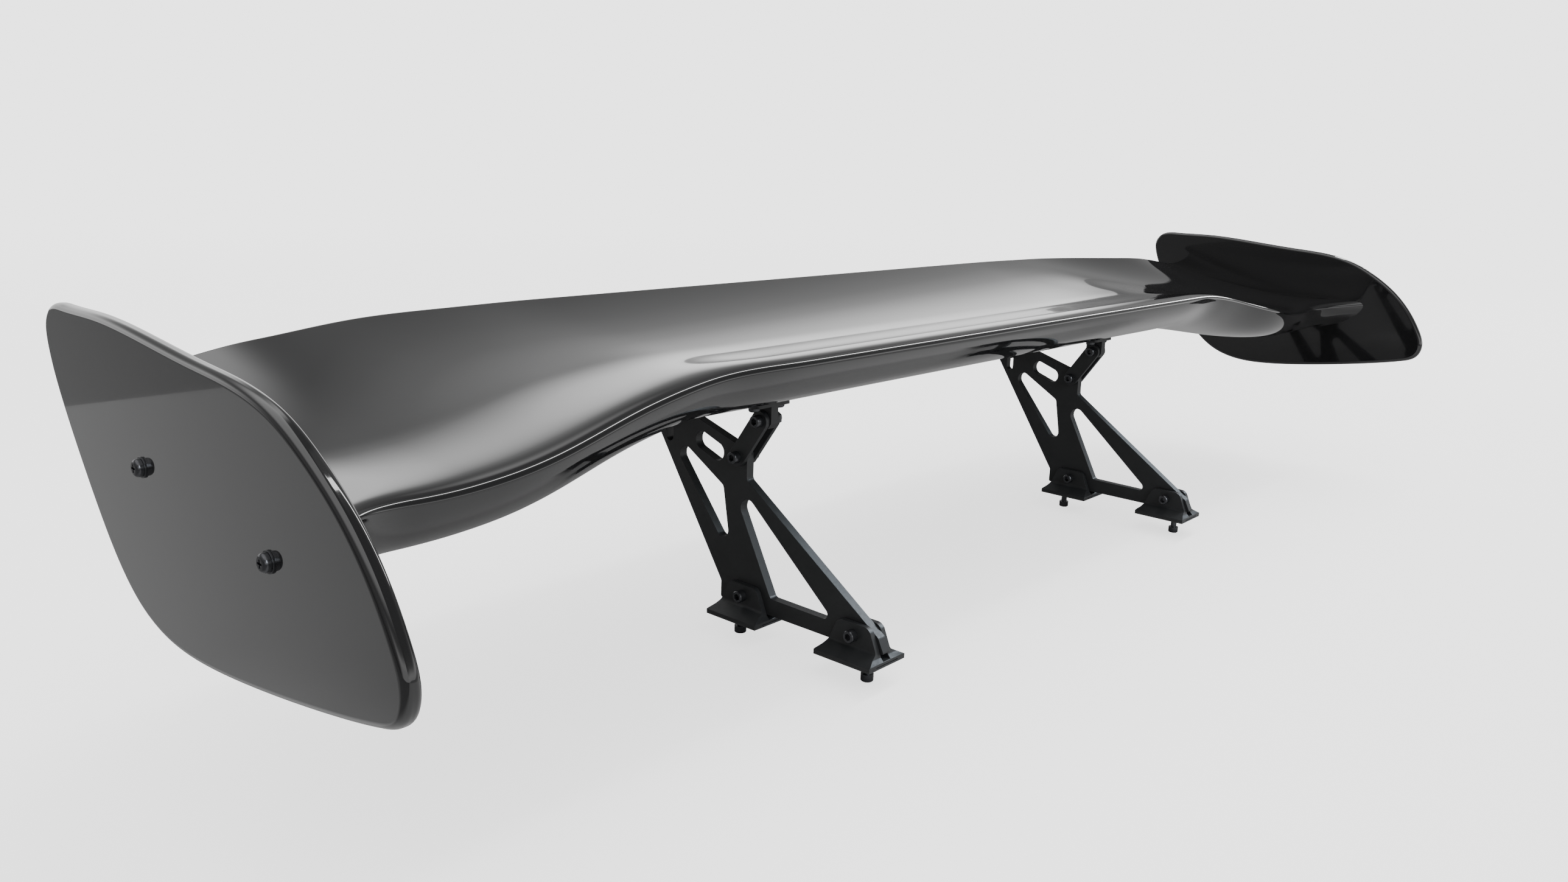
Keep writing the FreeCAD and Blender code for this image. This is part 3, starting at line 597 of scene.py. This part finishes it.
# what lights the wing and shows in its gloss: heights are sines of the angle above level
STUDIO_STRENGTH = 2.0
BACKDROP_LEVELS = (
    (0.0, 0.70), (0.08, 0.82), (0.13, 0.74), (0.18, 0.52), (0.21, 0.39), (0.24, 0.27), (0.29, 0.19),
    (0.36, 0.15), (0.44, 0.12), (1.0, 0.11),
)
TALLER_EDGE = np.radians((32.5, 43.0))
TALLER_BY = 0.205
LEFT_DARK = np.radians(((61.0, 65.5), (95.0, 115.0)))
RIGHT_DARK = np.radians(((-135.0, -110.0), (-45.0, -20.0)))
DARK_HEIGHT = (0.0, 0.35)
DARK_LEVELS = (0.07, 0.19)
OVERHEAD_HEIGHT = (0.52, 0.78)
OVERHEAD_LEVEL = 0.85
OVERHEAD_EDGE = np.radians((36.0, 46.0))


def grey(level):
    """Opaque neutral colour."""
    return (level, level, level, 1.0)


def step(nodes, links, value, edge, first, last):
    """Smooth step from first to last while value crosses the edge, a pair of its start and end."""
    ranges = nodes.new("ShaderNodeMapRange")
    ranges.interpolation_type = "SMOOTHSTEP"
    ranges.inputs["From Min"].default_value = edge[0]
    ranges.inputs["From Max"].default_value = edge[1]
    ranges.inputs["To Min"].default_value = first
    ranges.inputs["To Max"].default_value = last
    links.new(value, ranges.inputs["Value"])
    return ranges.outputs["Result"]


def math_node(nodes, links, operation, first, second):
    """Result of one operation on two numbers or sockets."""
    node = nodes.new("ShaderNodeMath")
    node.operation = operation
    for socket, value in zip(node.inputs, (first, second)):
        if isinstance(value, float):
            socket.default_value = value
        else:
            links.new(value, socket)
    return node.outputs["Value"]


def sector(nodes, links, turn, rise, fall):
    """1 from the first edge of turns to the second and 0 elsewhere."""
    risen = step(nodes, links, turn, rise, 0.0, 1.0)
    not_fallen = step(nodes, links, turn, fall, 1.0, 0.0)
    return math_node(nodes, links, "MULTIPLY", risen, not_fallen)


def mix_shaders(nodes, links, factor, first, second):
    """Blend of two shaders by a factor."""
    blend = nodes.new("ShaderNodeMixShader")
    links.new(factor, blend.inputs[0])
    links.new(first, blend.inputs[1])
    links.new(second, blend.inputs[2])
    return blend.outputs["Shader"]


def make_floor():
    """Pale floor that fades into the backdrop far away; the gloss mirrors it darker, with a painted pool of
    light in front.
    """
    mesh = bpy.data.meshes.new("studio_floor")
    signs = ((-1, -1), (1, -1), (1, 1), (-1, 1))
    corners = [(x * FLOOR_REACH, y * FLOOR_REACH, FLOOR_Z) for x, y in signs]
    mesh.from_pydata(corners, [], [(0, 1, 2, 3)])
    floor = bpy.data.objects.new("studio_floor", mesh)
    bpy.context.scene.collection.objects.link(floor)
    material, nodes, links, shader = new_material("pale_floor")
    shader.inputs["Base Color"].default_value = grey(FLOOR_GREY)
    shader.inputs["Roughness"].default_value = FLOOR_ROUGHNESS
    # the camera sees the floor brightened, and far away it sees the backdrop instead
    place = nodes.new("ShaderNodeTexCoord")
    length = nodes.new("ShaderNodeVectorMath")
    length.operation = "LENGTH"
    links.new(place.outputs["Object"], length.inputs[0])
    glow = nodes.new("ShaderNodeEmission")
    glow.inputs["Color"].default_value = grey(1.0)
    glow.inputs["Strength"].default_value = FLOOR_LIFT
    lifted = nodes.new("ShaderNodeAddShader")
    links.new(shader.outputs["BSDF"], lifted.inputs[0])
    links.new(glow.outputs["Emission"], lifted.inputs[1])
    backdrop = nodes.new("ShaderNodeEmission")
    backdrop.inputs["Color"].default_value = grey(1.0)
    backdrop.inputs["Strength"].default_value = BACKDROP
    far_away = step(nodes, links, length.outputs["Value"], FLOOR_FADE, 0.0, 1.0)
    seen = mix_shaders(nodes, links, far_away, lifted.outputs["Shader"], backdrop.outputs["Emission"])
    # the gloss mirrors a darker floor with a painted pool of light in front of the wing, between its ends
    mirrored = nodes.new("ShaderNodeBsdfDiffuse")
    across = nodes.new("ShaderNodeSeparateXYZ")
    links.new(place.outputs["Object"], across.inputs["Vector"])
    in_front = step(nodes, links, across.outputs["Y"], PALER_REAR_EDGE, POOL_LIGHT_BY, 0.0)
    past_right = step(nodes, links, across.outputs["X"], PALER_RIGHT_EDGE, 0.0, 1.0)
    past_left = step(nodes, links, across.outputs["X"], PALER_LEFT_EDGE, 1.0, PALER_LEFT_SHARE)
    between_ends = math_node(nodes, links, "MULTIPLY", past_right, past_left)
    painted_pool_light = math_node(nodes, links, "MULTIPLY", in_front, between_ends)
    links.new(math_node(nodes, links, "ADD", painted_pool_light, MIRRORED_GREY), mirrored.inputs["Color"])
    path = nodes.new("ShaderNodeLightPath")
    dim = mix_shaders(nodes, links, path.outputs["Is Glossy Ray"], shader.outputs["BSDF"],
                      mirrored.outputs["BSDF"])
    links.new(mix_shaders(nodes, links, path.outputs["Is Camera Ray"], dim, seen),
              nodes["Material Output"].inputs["Surface"])
    floor.data.materials.append(material)


def area_light(name, place, target, size, power, colour=(1.0, 1.0, 1.0), only=()):
    """Soft light aimed at target; with only, it lights just the named pieces and the camera can't see it."""
    light = bpy.data.lights.new(name, "AREA")
    light.shape = "RECTANGLE"
    light.size, light.size_y = size
    light.energy = power
    light.color = colour
    obj = bpy.data.objects.new(name, light)
    obj.location = place
    obj.rotation_euler = (Vector(target) - Vector(place)).to_track_quat("-Z", "Y").to_euler()
    bpy.context.scene.collection.objects.link(obj)
    if only:
        lit = bpy.data.collections.new(name + "_lights")
        for piece in only:
            lit.objects.link(bpy.data.objects[piece])
        obj.light_linking.receiver_collection = lit
        obj.visible_camera = False


def make_world():
    """Studio with a bright backdrop low down behind the wing, dim above it, and a broad overhead softbox."""
    world = bpy.data.worlds.new("studio")
    bpy.context.scene.world = world
    world.use_nodes = True
    nodes, links = world.node_tree.nodes, world.node_tree.links
    studio = nodes["Background"]
    direction = nodes.new("ShaderNodeTexCoord")
    split = nodes.new("ShaderNodeSeparateXYZ")
    links.new(direction.outputs["Generated"], split.inputs["Vector"])
    height = split.outputs["Z"]
    turn = math_node(nodes, links, "ARCTAN2", split.outputs["X"], split.outputs["Y"])
    # the backdrop stands taller towards the wing's right
    taller = step(nodes, links, turn, TALLER_EDGE, TALLER_BY, 0.0)
    low_height = math_node(nodes, links, "SUBTRACT", height, taller)
    ramp = nodes.new("ShaderNodeValToRGB")
    links.new(low_height, ramp.inputs["Fac"])
    ramp.color_ramp.interpolation = "LINEAR"
    for element, (place, level) in zip(ramp.color_ramp.elements, (BACKDROP_LEVELS[0], BACKDROP_LEVELS[-1])):
        element.position = place
        element.color = grey(level)
    for place, level in BACKDROP_LEVELS[1:-1]:
        ramp.color_ramp.elements.new(place).color = grey(level)
    # the studio is dark to both sides of the backdrop
    left_side = sector(nodes, links, turn, *LEFT_DARK)
    right_side = sector(nodes, links, turn, *RIGHT_DARK)
    at_sides = math_node(nodes, links, "ADD", left_side, right_side)
    darkness = step(nodes, links, height, DARK_HEIGHT, *DARK_LEVELS)
    around = mix_colour(nodes, links, at_sides, ramp.outputs["Color"], darkness)
    # in the gloss the overhead softbox only shows towards the wing's right and rear
    path = nodes.new("ShaderNodeLightPath")
    past_edge = step(nodes, links, turn, OVERHEAD_EDGE, 0.0, 1.0)
    hidden = math_node(nodes, links, "MULTIPLY", path.outputs["Is Glossy Ray"], past_edge)
    shown = math_node(nodes, links, "SUBTRACT", 1.0, hidden)
    above = step(nodes, links, height, OVERHEAD_HEIGHT, 0.0, 1.0)
    softbox = math_node(nodes, links, "MULTIPLY", above, shown)
    lit = mix_colour(nodes, links, softbox, around, (OVERHEAD_LEVEL,) * 3)
    links.new(lit, studio.inputs["Color"])
    studio.inputs["Strength"].default_value = STUDIO_STRENGTH
    # the camera sees a plain pale backdrop all around
    backdrop = nodes.new("ShaderNodeBackground")
    backdrop.inputs["Color"].default_value = grey(1.0)
    backdrop.inputs["Strength"].default_value = BACKDROP
    links.new(mix_shaders(nodes, links, path.outputs["Is Camera Ray"], studio.outputs["Background"],
                          backdrop.outputs["Background"]),
              nodes["World Output"].inputs["Surface"])


# ---- camera and lights ------------------------------------------------------------------------------
CAMERA_PLACE = (-0.9581, -0.5763, 0.3721)
CAMERA_YAW = 48.82
CAMERA_PITCH = 13.62
CAMERA_ROLL = 1.90
CAMERA_SENSOR = 36.0
CAMERA_LENS = 27.774
CAMERA_SHIFT = (-0.0003, 0.0018)
CAMERA_REACH = 200.0
GLOW_GAP = 0.003
STANDS_MIDDLE = (0.0, 0.0, 0.1)
BLADE_MIDDLE = (0.0, 0.0, 0.22)
COOL_WHITE = (0.86, 0.93, 1.0)
PALE_BLUE = (0.80, 0.90, 1.0)


def make_camera():
    """Camera in front of the car's right corner, a little above the blade."""
    yaw = math.radians(CAMERA_YAW)
    pitch = math.radians(CAMERA_PITCH)
    roll = math.radians(CAMERA_ROLL)
    ahead = Vector((math.sin(yaw) * math.cos(pitch), math.cos(yaw) * math.cos(pitch), -math.sin(pitch)))
    level = Vector((math.cos(yaw), -math.sin(yaw), 0.0))
    upright = level.cross(ahead)
    right = level * math.cos(roll) + upright * math.sin(roll)
    up = upright * math.cos(roll) - level * math.sin(roll)
    data = bpy.data.cameras.new("camera")
    data.sensor_width = CAMERA_SENSOR
    data.lens = CAMERA_LENS
    data.shift_x, data.shift_y = CAMERA_SHIFT
    data.clip_end = CAMERA_REACH
    camera = bpy.data.objects.new("camera", data)
    axes = Matrix((right, up, -ahead)).transposed().to_4x4()
    camera.matrix_world = Matrix.Translation(CAMERA_PLACE) @ axes
    bpy.context.scene.collection.objects.link(camera)
    bpy.context.scene.camera = camera


make_floor()
make_world()
make_camera()
# a long light high on the left draws the thin highlight along the blade's nose
area_light("nose_strip", (2.6, 0.15, 2.9), BLADE_MIDDLE, (0.34, 4.6), 66.0)
# a faint light lying on the floor that only the right end plate catches
GLOW_PLACE = (-1.07, 0.65, FLOOR_Z + GLOW_GAP)
ABOVE_GLOW = (-1.07, 0.65, 1.0)
area_light("plate_glow", GLOW_PLACE, ABOVE_GLOW, (0.66, 1.3), 0.55, only=["end_plate_right_shell"])
# two cool lights that only the satin pieces catch
SATIN_PIECES = [node + "_edged" for node, slot in SLOT_OF.items() if slot in EDGED]
area_light("front_fill", (-1.2, -4.0, 2.2), STANDS_MIDDLE, (3.0, 2.0), 120.0, COOL_WHITE, SATIN_PIECES)
area_light("edge_softbox", (2.9, -1.4, 2.4), STANDS_MIDDLE, (1.6, 1.6), 150.0, PALE_BLUE, SATIN_PIECES)
